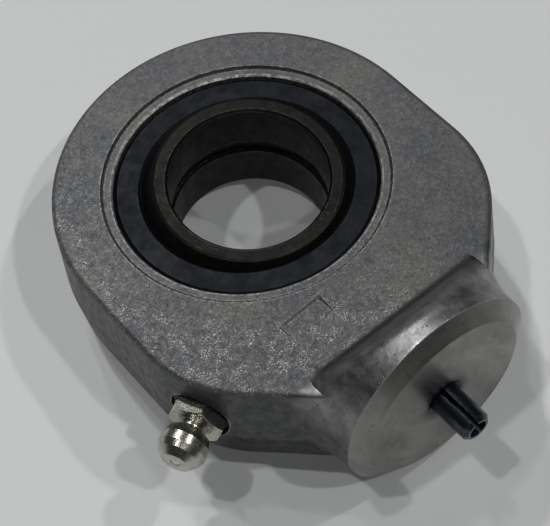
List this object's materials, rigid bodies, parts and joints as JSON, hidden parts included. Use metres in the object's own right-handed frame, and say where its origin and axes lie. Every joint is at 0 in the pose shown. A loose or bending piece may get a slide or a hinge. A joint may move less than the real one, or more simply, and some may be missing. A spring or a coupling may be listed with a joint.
{
  "type": "rod end bearing",
  "caption": "Forged rod end with a round welding shank, a staked spherical plain bearing, a side grease nipple and a slotted centring pin.",
  "frame": {"origin": "centre of the spherical bearing, on the axis of its bore at mid width", "axes": "+Z along the axis of the bearing seat, out of the face that carries the blank panel; -Y along the shank and out of the weld face; +X to the side away from the grease nipple"},
  "size_m": [0.0677, 0.0827, 0.034],
  "materials": {
    "forged_steel": "blasted forging, bare",
    "phosphated_steel": "matt phosphate",
    "oiled_phosphate": "oiled phosphate",
    "plated_steel": "bright zinc plate",
    "bright_steel": "polished",
    "spring_steel": "drawn wire",
    "blackened_steel": "black oxide, oiled"
  },
  "bodies": {
    "rod_end": {"housing": "forged_steel", "outer_ring": "phosphated_steel", "grease_nipple": "plated_steel", "check_spring": "spring_steel", "centring_pin": "blackened_steel"},
    "ring": {"inner_ring": "oiled_phosphate"},
    "ball": {"check_ball": "bright_steel"}
  },
  "joints": [
    {"name": "ring_tilt", "type": "hinge", "parent": "rod_end", "child": "ring", "pos_m": [0, 0, 0], "axis": [1, 0, 0], "range_deg": [-12, 2]},
    {"name": "ball_press", "type": "slide", "parent": "rod_end", "child": "ball", "axis": [0.891, 0.454, 0], "range_m": [0, 0.0008], "stiffness_N_per_m": 300, "springref_m": -0.001, "deforming": ["check_spring"]}
  ]
}
